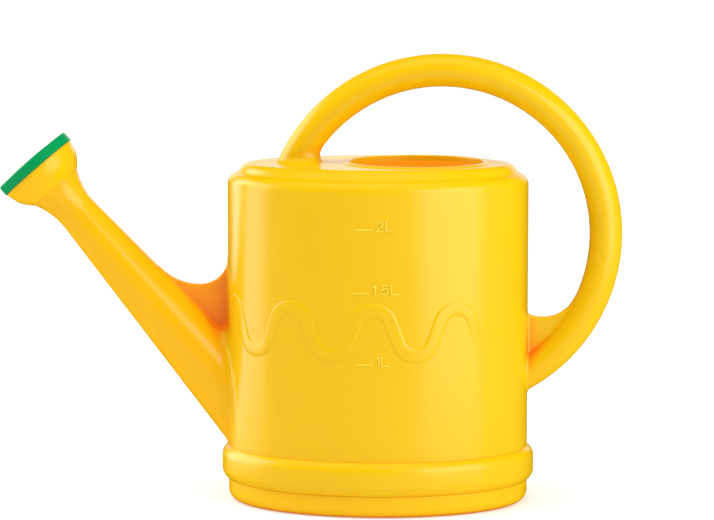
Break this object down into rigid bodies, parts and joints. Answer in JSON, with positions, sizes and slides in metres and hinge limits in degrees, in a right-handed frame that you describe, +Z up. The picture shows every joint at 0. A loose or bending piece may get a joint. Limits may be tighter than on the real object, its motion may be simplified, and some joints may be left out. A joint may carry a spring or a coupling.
{
  "type": "watering can",
  "caption": "Oval plastic watering can with a raised deck, round fill opening, arched tube handle, straight sloping spout with a flared bell, and a press-on perforated rose.",
  "frame": {"origin": "centre of the oval tank on the surface that the can stands on", "axes": "+Z up, -X towards the spout and rose, +X towards the handle, Y across the can; Y = 0 is the mirror plane of the moulding"},
  "size_m": [0.3295, 0.1208, 0.2375],
  "materials": {
    "yellow_plastic": "semi-gloss moulded polyethylene, warm yellow, with a faint satin break-up",
    "green_plastic": "satin moulded polyethylene, mid green"
  },
  "bodies": {
    "can": {"base_pan": "yellow_plastic", "base_band": "yellow_plastic", "tank_wall": "yellow_plastic", "top_deck": "yellow_plastic", "fill_rim": "yellow_plastic", "handle_tube": "yellow_plastic", "handle_web": "yellow_plastic", "spout_tube": "yellow_plastic", "spout_web": "yellow_plastic", "spout_bell": "yellow_plastic", "wave_relief_front": "yellow_plastic", "wave_relief_back": "yellow_plastic", "level_marks": "yellow_plastic"},
    "rose": {"rose": "green_plastic"}
  },
  "joints": [
    {"name": "rose_pull", "type": "slide", "parent": "can", "child": "rose", "axis": [-0.6561, 0, 0.7547], "range_m": [0, 0.03]}
  ]
}
